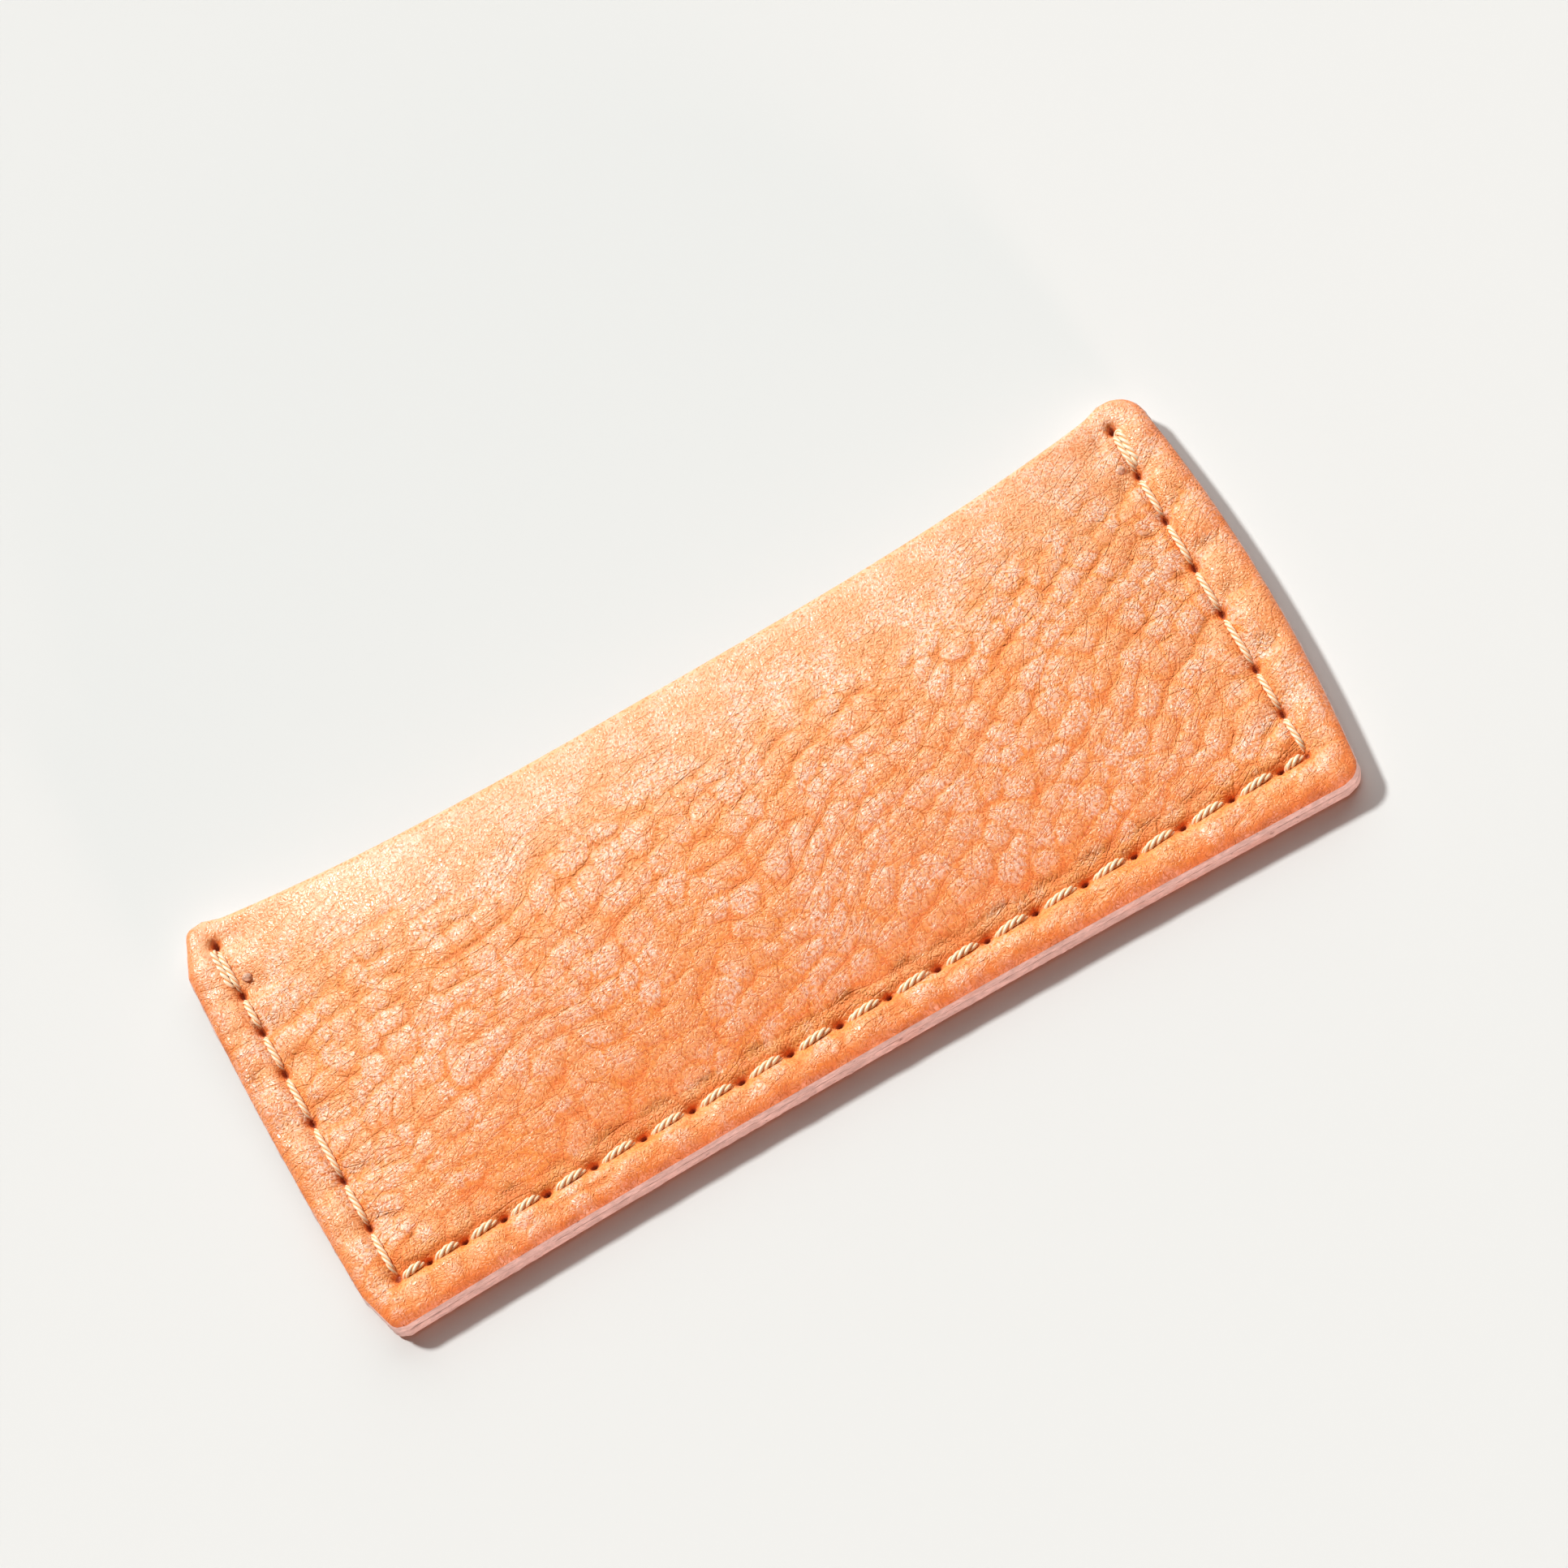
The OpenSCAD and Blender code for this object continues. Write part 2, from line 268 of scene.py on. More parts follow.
def noise(x, y, size, seed):
    """Smooth noise from -1 to 1 whose bumps are about size across."""
    table = np.random.default_rng(seed).uniform(-1, 1, (256, 256))
    u, v = x / size, y / size
    i, j = np.floor(u).astype(int), np.floor(v).astype(int)
    fu, fv = u - i, v - j
    fu, fv = fu**3 * (fu * (6 * fu - 15) + 10), fv**3 * (fv * (6 * fv - 15) + 10)
    a, b = table[i % 256, j % 256], table[(i + 1) % 256, j % 256]
    c, d = table[i % 256, (j + 1) % 256], table[(i + 1) % 256, (j + 1) % 256]
    return (a + (b - a) * fu) * (1 - fv) + (c + (d - c) * fu) * fv


def cells(p, q, seed, jitter=0.9):
    """Distances to the nearest and the second nearest of a jittered grid's points, one unit apart."""
    table = np.random.default_rng(seed).uniform(-0.5, 0.5, (128, 128, 2)) * jitter
    i, j = np.floor(p).astype(int), np.floor(q).astype(int)
    near = np.full(p.shape, 9.0)
    second = near.copy()
    for a in range(-2, 3):
        for b in range(-2, 3):
            t = table[(i + a) % 128, (j + b) % 128]
            d = np.hypot(i + a + 0.5 + t[..., 0] - p, j + b + 0.5 + t[..., 1] - q)
            second = np.minimum(second, np.maximum(near, d))
            near = np.minimum(near, d)
    return near, second


def step_up(x, low, high):
    """0 below low, 1 above high, smooth between them."""
    t = np.clip((x - low) / (high - low), 0, 1)
    return t * t * (3 - 2 * t)


# ---- The front panel's height, in layers from large to small ----

BAND = 1.6               # leather that lies flat inside the seam
FLAT_HALF = SEAM_HALF - BAND
FLAT_Y = SEAM_Y + BAND
CREST = 0.65             # where the front is highest, from 0 at the long seam to 1 at the mouth
MOUTH_LIFT = 0.85        # height at the mouth, as a share of the crest's
RIM_SWELL = 0.43         # how far the rim swells midway between two holes
SIDE_SWELL = 0.5         # and the leather inside the short seams
CHANNEL_DEPTH = 0.32     # of the channel that the stitches lie in
CRACK_DEPTH = 0.25       # of the crack from each stitch to the next
DIMPLE_DEPTH = 0.18      # of the wide dimple round a hole
HOLE_DEPTH = 0.5         # of the hole itself, as far as the thread leaves it open
HOLE_REACH = 0.42        # how far the painted shade of a hole reaches
FOLD_DEPTH = 0.28        # of the folds that run in from the stitches on the short sides
SEWN_DROP = 0.35         # how far the grain side rounds down at the sewn edges
MOUTH_DROP = 0.55        # and at the mouth's edge
ROW = 2.6                # width of a row of pebbles


def puff(x, y):
    """Height of the puffed front above the rim's level."""
    v = (y - FLAT_Y) / (mouth_y(x) - FLAT_Y)
    rising = 1 - np.clip(1 - v / CREST, 0, 1) ** 2
    falling = 1 - (1 - MOUTH_LIFT) * np.clip((v - CREST) / (1 - CREST), 0, 1.2) ** 2
    across = np.where(v < 0, 0, np.where(v < CREST, rising, falling))
    return PUFF * (1 - np.minimum(1, np.abs(x - MID_X) / FLAT_HALF) ** 4) * across


def soft_least(reach, *distances):
    """The least of some distances, rounded over reach where two are alike."""
    return -reach * np.log(sum(np.exp(-d / reach) for d in distances))


def inside_seam(x, y):
    """Distance inwards from the row of holes, negative on the rim."""
    return soft_least(0.5, SEAM_HALF - np.abs(x - MID_X), y - SEAM_Y)


def edge_distance(x, y):
    """Distance inwards from the cut edge at the sewn sides, and from the mouth's edge."""
    return soft_least(0.3, x - left_side(y), right_side(y) - x, y - foot_y(x)), mouth_y(x) - y


def flow(x, y):
    """Coordinates along and across the leather's folds, which rise more steeply towards the right."""
    run = (x - SEAM_LEFT) / (2 * SEAM_HALF)
    slope = 0.04 + 0.62 * run
    climb = (x - SEAM_LEFT) * (0.04 + 0.31 * run)
    warp_x = 1.3 * noise(x, y, 7, 11) + 0.45 * noise(x, y, 2.6, 12)
    warp_y = 1.3 * noise(x, y, 8, 13) + 0.3 * noise(x, y, 2.6, 14)
    return x + slope * y + warp_x, y - climb + warp_y


def flow_fields(x, y):
    """The same coordinates, under the names that the materials read them by."""
    along, across = flow(x, y)
    return {"along_flow": along, "across_flow": across}


def mounds(p, q, long, wide, seed):
    """(rounded mounds from 0 to 1, line from 0 to 1 where they meet)"""
    near, second = cells(p / long, q / wide, seed)
    gap = second - near
    dome = 1 - np.minimum(near / 0.9, 1) ** 2
    pillow = 1 - np.exp(-gap / 0.25)
    return 0.62 * dome + 0.38 * pillow, np.exp(-((gap / 0.08) ** 2))


def grain_relief(x, y):
    """(ridges, pebbles along them, small pebbles, fine pebbles, creases) of the grain, each from 0 to 1."""
    p, q = flow(x, y)
    row = q / ROW
    pebbles, pebble_line = mounds(p, q, 3.0, ROW, 21)
    small, small_line = mounds(p, q, 1.5, 1.3, 22)
    fine = mounds(p, q, 0.8, 0.65, 23)[0]
    broken = step_up(noise(x, y, 4, 26), -0.5, 0.5)
    long_line = np.exp(-(((row - np.round(row)) / 0.06) ** 2))
    crease = np.clip(0.6 * long_line * broken + 0.7 * pebble_line + 0.3 * small_line * (1 - broken), 0, 1)
    return 0.5 - 0.5 * np.cos(2 * math.pi * row), pebbles, small, fine, crease


def hole_field(x, y, reach):
    """1 at a needle hole, falling to 0 over reach, or sooner on the long side."""
    field = np.zeros_like(x)
    wide = reach * (1 + 0.25 * noise(x, y, 0.5, 71))
    for hx, hy in HOLES:
        share = 1.0 if hy > SEAM_Y else 0.72
        close = (np.abs(x - hx) < 3 * reach) & (np.abs(y - hy) < 3 * reach)
        d2 = (x[close] - hx) ** 2 + (y[close] - hy) ** 2
        field[close] = np.maximum(field[close], np.exp(-d2 / (share * wide[close]) ** 2))
    return field


def seam_pucker(x, y):
    """1 level with a hole and 0 midway between two, by the nearest side of the seam."""
    def by_side(at, marks):
        k = np.clip(np.searchsorted(marks, at) - 1, 0, len(marks) - 2)
        return 0.5 + 0.5 * np.cos(2 * math.pi * (at - marks[k]) / (marks[k + 1] - marks[k]))
    left = by_side(y + 0.12 * (x - SEAM_LEFT), np.array(sorted(h[1] for h in LEFT_HOLES)))
    right = by_side(y + 0.5 * (SEAM_RIGHT - x), np.array(sorted(h[1] for h in RIGHT_HOLES)))
    low = by_side(x, np.array([h[0] for h in LONG_HOLES]))
    at_side = SEAM_HALF - np.abs(x - MID_X) < y - SEAM_Y
    return np.where(at_side, np.where(x < 0, left, right), low)


def front_height(x, y, pebble):
    """Height of the front panel's grain side, and the fields that colour it."""
    s = inside_seam(x, y)
    sewn, mouth = edge_distance(x, y)
    below_mouth = step_up(mouth, 0.4, 3.5)
    pucker = seam_pucker(x, y)
    inwards = SEAM_HALF - np.abs(x - MID_X)
    by_side = np.exp(-np.clip(inwards, 0, 99) / 4)
    z = RIM_Z + puff(x, y)
    # The rim swells between the holes, and so does the leather inside the short seams.
    across_rim = np.clip(-s / (sewn - s), 0, 1)
    swell = RIM_SWELL - 0.3 * pucker + 0.22 * noise(x, y, 2.2, 35)
    z = z + 4 * across_rim * (1 - across_rim) * swell * below_mouth
    z = z + SIDE_SWELL * np.exp(-(((s - 1.7) / 1.1) ** 2)) * (1 - 0.8 * pucker) * by_side * below_mouth
    # The stitches lie in a shallow channel, with a sharp crack from each stitch to the next.
    sewn_here = 1 - step_up(y, TOP_HOLE_Y, TOP_HOLE_Y + 1)
    channel = np.exp(-((s / 0.55) ** 2)) * sewn_here
    crack = np.exp(-((s / 0.2) ** 2)) * sewn_here * pucker**4
    z = z - CHANNEL_DEPTH * channel - CRACK_DEPTH * crack
    z = z - DIMPLE_DEPTH * hole_field(x, y, 1.1) - HOLE_DEPTH * hole_field(x, y, 0.36)
    z = z - SEWN_DROP * rounded(1 - sewn, 1) - MOUTH_DROP * rounded(1 - mouth / 0.9, 1)
    z = z - FOLD_DEPTH * by_side * step_up(s, 0.3, 2) * pucker**1.5
    ridges, pebbles, small, fine, crease = grain_relief(x, y)
    smooth = step_up(mouth + 2.5 * noise(x, y, 11, 31), 3.5, 12)
    seamless = step_up(np.abs(s), 0.25, 1.2) * step_up(sewn, 0, 0.8)
    near_long = 1 - step_up(y - SEAM_Y + 1.2 * noise(x, y, 5, 36), 0.5, 4.5)
    on_rim = np.where(s < 0, 1.0, 0.0)
    inner = (1 - on_rim) * (1 - 0.75 * near_long * (1 - by_side))
    ridge_amount = inner * smooth * step_up(s, 0.5, 4) * (0.4 + 0.12 * step_up(x, -5, 38))
    pebble_amount = seamless * (0.08 + 0.92 * smooth) * (inner + 0.7 * on_rim)
    z = z + pebble * (ridges * ridge_amount + (0.85 * pebbles + 0.35 * small - 0.45 * crease) * pebble_amount
                      + (0.12 + 0.25 * on_rim) * fine * seamless)
    left_to_right = np.clip((x + 50) / 100, 0, 1)
    # Paler by the mouth: partly the stretched, smooth grain, partly a painted highlight, stronger towards the
    # left.
    pale = np.exp(-((np.clip(mouth + 0.8 * noise(x, y, 6, 34), 0, 99) / (6.5 - 3 * left_to_right)) ** 2))
    # Mound tops, the rim's swell among them, get pale colour and painted glints; hollows get the crease
    # colour, partly the grain's own and partly painted shade. The slope by the long seam, which faces away
    # from the light, gets it as painted shade.
    dome = 0.55 * pebbles + 0.25 * small + 0.2 * np.where(s < 0, 0.7, ridges)
    dome = dome + 4 * across_rim * (1 - across_rim) * (0.5 - 0.35 * pucker)
    hollow = (0.85 - dome) * (0.25 + 0.75 * smooth) + (0.4 * crease + 0.4 * near_long) * smooth
    # The burnished edge's darker colour, partly painted shade where the sewn edge rounds down, reaches
    # further along the long side.
    reach = 1.05 + 0.55 * (1 - step_up(y, SEAM_Y - 1, SEAM_Y + 1))
    return z, {
        "hollow": np.clip(hollow, 0, 1),
        # where the needle holes and the cracks between stitches get painted shade
        "hole": np.clip(hole_field(x, y, HOLE_REACH) + 0.6 * crack, 0, 1),
        "burnish_and_shade": np.exp(-((sewn / reach) ** 2)) * (0.8 + 0.2 * noise(x, y, 1.5, 33)),
        "pale": pale * (0.72 - 0.3 * left_to_right),
        "folded": smooth * inner,
    }


# ---- Meshes ----

UNDER_STEP = 4           # the plain underside has every fourth line of the detailed side
BACK_COARSER = 1.35      # the back panel's lines lie this much further apart than the front's
GAP = 0.01               # half the clearance between the two layers
# (share of the way down, push outwards) for each row of points of the cut edge
FRONT_WALL = ((0.1, 0.03), (0.28, 0.06), (0.46, 0.06), (0.64, 0.05), (0.82, 0.03), (0.96, 0.01), (1, -0.02))
BACK_WALL = ((0.12, 0.05), (0.3, 0.07), (0.48, 0.06), (0.66, 0.05), (0.84, 0.03), (0.96, 0.01), (1, -0.02))


def graded(low, high, step, fine, centres, reach):
    """A row of values from low to high, closer together near the centres."""
    x = np.linspace(low, high, 4001)
    density = np.full_like(x, 1 / step)
    for c in centres:
        density += (1 / fine - 1 / step) * np.exp(-(((x - c) / reach) ** 4))
    total = np.concatenate([[0], np.cumsum((density[1:] + density[:-1]) / 2 * np.diff(x))])
    count = UNDER_STEP * round(total[-1] / UNDER_STEP)
    return np.interp(np.linspace(0, total[-1], count + 1), total, x)


def panel_grid(step):
    """x and y of a grid that fills the panels' outline, with a multiple of UNDER_STEP cells each way."""
    across = graded(-HALF_L, HALF_L, step, step * 0.55, (SEAM_LEFT, SEAM_RIGHT), 1.2)
    deep = graded(-HALF_D, HALF_D, step, step * 0.5, (SEAM_Y,), 1.0)
    u, v = np.meshgrid(across / HALF_L, (deep + HALF_D) / (2 * HALF_D), indexing="ij")
    nominal = -HALF_D + 2 * HALF_D * v
    x = np.where(u < 0, -u * left_side(nominal), u * right_side(nominal))
    return x, foot_y(x) + (mouth_y(x) - foot_y(x)) * v


def ring_of(shape):
    """Grid indices once round the border, anticlockwise seen from above."""
    n, m = shape
    index = np.arange(n * m).reshape(n, m)
    return np.concatenate([index[:-1, 0], index[-1, :-1], index[:0:-1, -1], index[0, :0:-1]])


def grid_quads(shape, offset=0):
    """Faces of a grid whose points are numbered from offset."""
    n, m = shape
    index = np.arange(n * m).reshape(n, m) + offset
    return np.stack([index[:-1, :-1], index[1:, :-1], index[1:, 1:], index[:-1, 1:]], -1).reshape(-1, 4)


def new_mesh(name, points, face_groups, materials):
    """A smooth mesh from points in millimetres and arrays of faces, each of one number of corners."""
    mesh = bpy.data.meshes.new(name)
    faces = [face for group in face_groups for face in group.tolist()]
    mesh.from_pydata((points * MM).tolist(), [], faces)
    for material in materials:
        mesh.materials.append(material)
    mesh.polygons.foreach_set("use_smooth", np.ones(len(faces), bool))
    return mesh


def wall_rows(rim, low, wall):
    """The cut edge's rows of points, from below the rim down to the heights in low."""
    chord = np.roll(rim, -1, 0) - np.roll(rim, 1, 0)
    out = np.stack([chord[:, 1], -chord[:, 0]], -1)
    out /= np.linalg.norm(out, axis=1)[:, None]
    along = np.concatenate([[0], np.cumsum(np.linalg.norm(np.diff(rim[:, :2], axis=0), axis=1))])
    # The layers part a little at the left end of the long seam.
    split = np.exp(-(((rim[:, 0] - LEFT_X - 4) / 2.5) ** 2)) * (rim[:, 1] < LEFT_LOW)
    rows = []
    for share, push in wall:
        row = rim.copy()
        row[:, 2] = rim[:, 2] + (low - rim[:, 2]) * share
        rough = 0.07 * noise(along, row[:, 2] * 2, 0.9, 41) + 0.05 * noise(along, row[:, 2] * 2, 0.35, 42)
        rough = rough * min(1, 6 * share, 8 * (1 - share))
        row[:, :2] += out * (push * (1 + 6 * split * (push < 0)) + rough)[:, None]
        rows.append(row)
    return rows


def slab(name, fine, coarse, wall, materials, upwards=True):
    """A closed sheet of leather. Its materials are the detailed side's, the cut edge's and the plain side's.

    fine is the (x, y, z) grid of the detailed side and coarse gives the z of the plain side. wall gives the
    rows of the cut edge between them, as FRONT_WALL does.
    """
    x, y, z = fine
    points = [np.stack([x, y, z], -1).reshape(-1, 3)]
    ring = ring_of(x.shape)
    rim = points[0][ring]
    cx, cy = x[::UNDER_STEP, ::UNDER_STEP], y[::UNDER_STEP, ::UNDER_STEP]
    cz = coarse(cx, cy)
    low_ring = ring_of(cx.shape)
    low_z = cz.reshape(-1)[low_ring]
    marks = np.arange(len(low_ring) + 1) * UNDER_STEP
    low = np.interp(np.arange(len(ring)), marks, np.append(low_z, low_z[0]))
    rows, quads, count = [ring], [grid_quads(x.shape)], len(points[0])
    for row in wall_rows(rim, low, wall):
        points.append(row)
        rows.append(np.arange(len(ring)) + count)
        count += len(ring)
    for above, below in zip(rows[:-1], rows[1:]):
        quads.append(np.stack([below, np.roll(below, -1), np.roll(above, -1), above], -1))
    points.append(np.stack([cx, cy, cz], -1).reshape(-1, 3))
    here, there = low_ring + count, np.roll(low_ring, -1) + count
    last = np.append(rows[-1], rows[-1][0])
    half = UNDER_STEP // 2
    triangles = [np.stack([last[half:-1:UNDER_STEP], here, there], -1)]
    for k in range(UNDER_STEP):
        first = last[k:-1:UNDER_STEP]
        triangles.append(np.stack([last[k + 1 :: UNDER_STEP], first, here if k < half else there], -1))
    underside = grid_quads(cx.shape, count)[:, ::-1]
    faces = [quads[0], np.concatenate(quads[1:]), np.concatenate(triangles), underside]
    if not upwards:
        faces = [f[:, ::-1] for f in faces]
    kinds = np.concatenate([np.full(len(f), k) for f, k in zip(faces, (0, 1, 1, 2))])
    mesh = new_mesh(name, np.concatenate(points), faces, materials)
    mesh.polygons.foreach_set("material_index", kinds.astype(np.int32))
    mesh.update()
    return mesh


def give_fields(mesh, fields):
    """Stores each named field of the detailed side as a point attribute, 0 elsewhere."""
    for name, values in fields.items():
        full = np.zeros(len(mesh.vertices), np.float32)
        full[: values.size] = values.reshape(-1)
        mesh.attributes.new(name, "FLOAT", "POINT").data.foreach_set("value", full)


def add_piece(name, mesh, slot, *nodes):
    """Links a mesh as a piece that rides on the one body and stands for CAD nodes."""
    piece = bpy.data.objects.new(name, mesh)
    bpy.context.scene.collection.objects.link(piece)
    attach(piece, "root")
    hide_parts(*nodes)
    return piece


# ---- Materials ----


class Nodes:
    """Short ways to add and join the nodes of one material."""

    def __init__(self, name):
        self.material = bpy.data.materials.new(name)
        self.material.use_nodes = True
        self.tree = self.material.node_tree
        self.shader = self.tree.nodes["Principled BSDF"]

    def add(self, kind, inputs=None, **settings):
        node = self.tree.nodes.new("ShaderNode" + kind)
        for key, value in settings.items():
            setattr(node, key, value)
        for key, value in (inputs or {}).items():
            self.put(node.inputs[key], value)
        return node

    def put(self, socket, value):
        if isinstance(value, bpy.types.NodeSocket):
            self.tree.links.new(value, socket)
        else:
            socket.default_value = value

    def field(self, name):
        return self.add("Attribute", attribute_name=name).outputs["Fac"]

    def place(self, scale):
        """Object coordinates, scaled so that one unit is 1/scale of a metre each way."""
        here = self.add("TexCoord").outputs["Object"]
        return self.add("Mapping", {"Vector": here, "Scale": scale}).outputs["Vector"]

    def noise(self, vector, detail=3.0, roughness=0.55, scale=1.0):
        return self.add("TexNoise", {"Vector": vector, "Scale": scale, "Detail": detail,
                                     "Roughness": roughness}).outputs["Fac"]

    def voronoi(self, vector, scale, randomness, **settings):
        return self.add("TexVoronoi", {"Vector": vector, "Scale": scale, "Randomness": randomness},
                        voronoi_dimensions="2D", **settings).outputs["Distance"]

    def along_folds(self, share):
        """The folds' own coordinates, with the one along them scaled by share."""
        along = self.math("MULTIPLY", self.field("along_flow"), share)
        return self.add("CombineXYZ", {"X": along, "Y": self.field("across_flow")}).outputs[0]

    def spread(self, value, low, high, to_low=0.0, to_high=1.0):
        """Maps low..high to to_low..to_high, smooth and clamped."""
        return self.add("MapRange", {"Value": value, "From Min": low, "From Max": high, "To Min": to_low,
                                     "To Max": to_high}, interpolation_type="SMOOTHSTEP").outputs["Result"]

    def math(self, operation, a, b=0.5):
        return self.add("Math", {0: a, 1: b}, operation=operation).outputs[0]

    def blend(self, factor, a, b, blend_type="MIX"):
        node = self.add("Mix", data_type="RGBA", blend_type=blend_type)
        self.put(node.inputs[0], factor)
        self.put(node.inputs[6], a)
        self.put(node.inputs[7], b)
        return node.outputs[2]

    def paint(self, colour, *layers):
        """Lays each (cover, colour) over the ones before it."""
        for cover, over in layers:
            colour = self.blend(cover, colour, over)
        return colour

    def bump(self, height, distance, strength=1.0, normal=None):
        node = self.add("Bump", {"Height": height, "Distance": distance, "Strength": strength})
        if normal is not None:
            self.put(node.inputs["Normal"], normal)
        return node.outputs["Normal"]

    def surface(self, **inputs):
        for key, value in inputs.items():
            self.put(self.shader.inputs[key.replace("_", " ")], value)
        return self.material


def rgba(colour, share=1.0):
    """A colour with full alpha, its brightness scaled by share."""
    return (*[c * share for c in colour], 1.0)


HOLE_SHADE = (0.42, 0.08, 0.02, 1)       # painted shade at the bottom of a needle hole and in the cracks between stitches
SPECK_DARK = (0.17, 0.05, 0.03, 1)      # specks in the cut edge
WAX_AND_SHADE = (1.0, 0.42, 0.12, 1)              # wax and painted shade between the thread's plies


def grain_material(leather):
    """Vegetable-tanned full grain.

    Pale mound tops with painted glints, orange hollows that are partly painted shade, pores, fine wrinkles,
    a smooth pale band at the mouth that is partly a painted highlight and a burnished rim edge, partly
    painted shade.
    """
    n = Nodes("leather_grain")
    fine = n.place((1000, 1000, 300))
    hollow, hole, burnish_and_shade, pale = (n.field(f) for f in ("hollow", "hole", "burnish_and_shade", "pale"))
    drift = n.add("TexNoise", {"Vector": fine, "Scale": 1.2, "Detail": 2.0}).outputs["Color"]
    warped = n.add("VectorMath", {0: fine, 1: drift}, operation="ADD").outputs[0]
    bump = n.spread(n.voronoi(warped, 2.7, 0.9, feature="DISTANCE_TO_EDGE"), 0.0, 0.3)
    pore = n.spread(n.voronoi(warped, 2.5, 0.75), 0.16, 0.36, 1.0, 0.0)
    # Long thin wrinkles that follow the folds, in patches
    wrinkles = n.voronoi(n.along_folds(0.26), 0.95, 0.95, feature="DISTANCE_TO_EDGE")
    patches = n.spread(n.noise(fine, scale=0.22, detail=2.0), 0.42, 0.6)
    wrinkle = n.math("MULTIPLY", n.spread(wrinkles, 0.0, 0.09, 1.0, 0.0), patches)
    # A net of short thin creases where the leather is folded, apart from the relief's own
    nets = n.voronoi(n.along_folds(0.7), 0.55, 0.9, feature="DISTANCE_TO_EDGE")
    line = n.math("MULTIPLY", n.spread(nets, 0.0, 0.05, 1.0, 0.0), n.field("folded"))
    mottle = n.spread(n.noise(fine, scale=0.16, detail=4.0), 0.35, 0.65)
    speck = n.noise(fine, scale=3.2, detail=2.0)
    # Painted glints: patches of pale pink-white on the mound tops, standing for the key light's reflection
    painted_glint = n.math("MULTIPLY", n.spread(hollow, 0.15, 0.6, 1.0, 0.0), n.spread(speck, 0.36, 0.6))
    painted_glint = n.math("MULTIPLY", painted_glint, n.spread(n.noise(fine, scale=0.3, detail=2.0), 0.4, 0.62))
    colour = n.paint(
        rgba(leather.grain),
        (n.math("MULTIPLY", mottle, 0.25), rgba(leather.pale)),
        # painted highlight: the mound tops paler
        (n.spread(hollow, 0.1, 0.5, 0.45, 0.0), rgba(leather.pale)),
        # pale band by the mouth: partly stretched smooth grain, partly a painted highlight, strongest towards
        # the left
        (pale, rgba(leather.pale)),
        # crease colour in the hollows: partly the grain's own darker creases, partly painted shade
        (n.spread(hollow, 0.4, 1.05, 0.0, 0.85), rgba(leather.crease)),
        # painted highlight: glints on the mound tops
        (n.math("MULTIPLY", painted_glint, n.spread(pale, 0.0, 0.8, 0.8, 0.35)), rgba(leather.painted_glint)),
        (n.math("MULTIPLY", pore, 0.65), rgba(leather.crease, 0.85)),
        (n.math("MULTIPLY", wrinkle, 0.35), rgba(leather.crease, 0.9)),
        (n.math("MULTIPLY", line, 0.4), rgba(leather.crease, 0.9)),
        # burnished edge and painted shade where the sewn edge rounds down, darkest at the very edge
        (n.math("MULTIPLY", burnish_and_shade, 0.85), rgba(leather.crease, 0.9)),
        (n.spread(burnish_and_shade, 0.8, 1.0, 0.0, 0.5), rgba(leather.crease, 0.5)),
        # painted shade in and round the needle holes and along the cracks between stitches
        (n.spread(hole, 0.03, 0.4, 0.0, 0.65), rgba(leather.crease, 0.85)),
        (n.spread(hole, 0.5, 0.85), HOLE_SHADE))
    height = n.math("ADD", n.math("MULTIPLY", bump, 0.8), n.math("MULTIPLY", speck, 0.3))
    for groove, depth in ((pore, 0.4), (wrinkle, 0.9), (line, 0.9)):
        height = n.math("SUBTRACT", height, n.math("MULTIPLY", groove, depth))
    rough = n.math("ADD", n.spread(n.noise(fine, scale=0.5, detail=3.0), 0.3, 0.7, 0.3, 0.42),
                   n.math("MULTIPLY", hollow, 0.3))
    return n.surface(Base_Color=colour, Roughness=rough, Specular_IOR_Level=0.68,
                     Normal=n.bump(height, 0.00005, n.spread(pale, 0.0, 0.7, 1.0, 0.45)))


def cut_material(leather):
    """Raw cut edge: pale pink fibres, dark specks and cracks, and a little of the dye in places."""
    n = Nodes("leather_cut_edge")
    fibre = n.noise(n.place((900, 900, 2200)), detail=6.0, roughness=0.7)
    coarse = n.noise(n.place((500, 500, 900)), detail=3.0)
    speck = n.spread(n.noise(n.place((1100, 1100, 2600)), detail=4.0, roughness=0.75), 0.30, 0.36, 1.0, 0.0)
    stain = n.spread(n.noise(n.place((90, 90, 250)), detail=3.0), 0.55, 0.75)
    colour = n.paint(
        rgba(leather.cut, 0.74),
        (n.spread(fibre, 0.35, 0.65), rgba(leather.cut, 1.06)),
        (n.spread(coarse, 0.35, 0.6, 0.35, 0.0), rgba(leather.cut, 0.6)),
        (n.math("MULTIPLY", stain, 0.3), rgba(leather.crease, 0.9)),
        (n.math("MULTIPLY", speck, 0.8), SPECK_DARK))
    height = n.math("SUBTRACT", fibre, n.math("MULTIPLY", speck, 0.6))
    return n.surface(Base_Color=colour, Roughness=0.85, Specular_IOR_Level=0.2,
                     Normal=n.bump(height, 0.00012, 0.8))


def flesh_material(leather):
    """Rough inner side, with a short nap."""
    n = Nodes("leather_flesh")
    nap = n.noise(n.place((900, 900, 900)), scale=1.6, detail=6.0, roughness=0.7)
    cloud = n.noise(n.place((900, 900, 900)), scale=0.12, detail=3.0)
    colour = n.paint(
        rgba(leather.flesh, 0.78),
        (n.spread(nap, 0.3, 0.7), rgba(leather.flesh, 1.1)),
        (n.spread(cloud, 0.35, 0.7, 0.0, 0.3), rgba(leather.crease, 1.1)))
    return n.surface(Base_Color=colour, Roughness=0.95, Sheen_Weight=0.25, Sheen_Roughness=0.5,
                     Normal=n.bump(nap, 0.0002, 0.9))


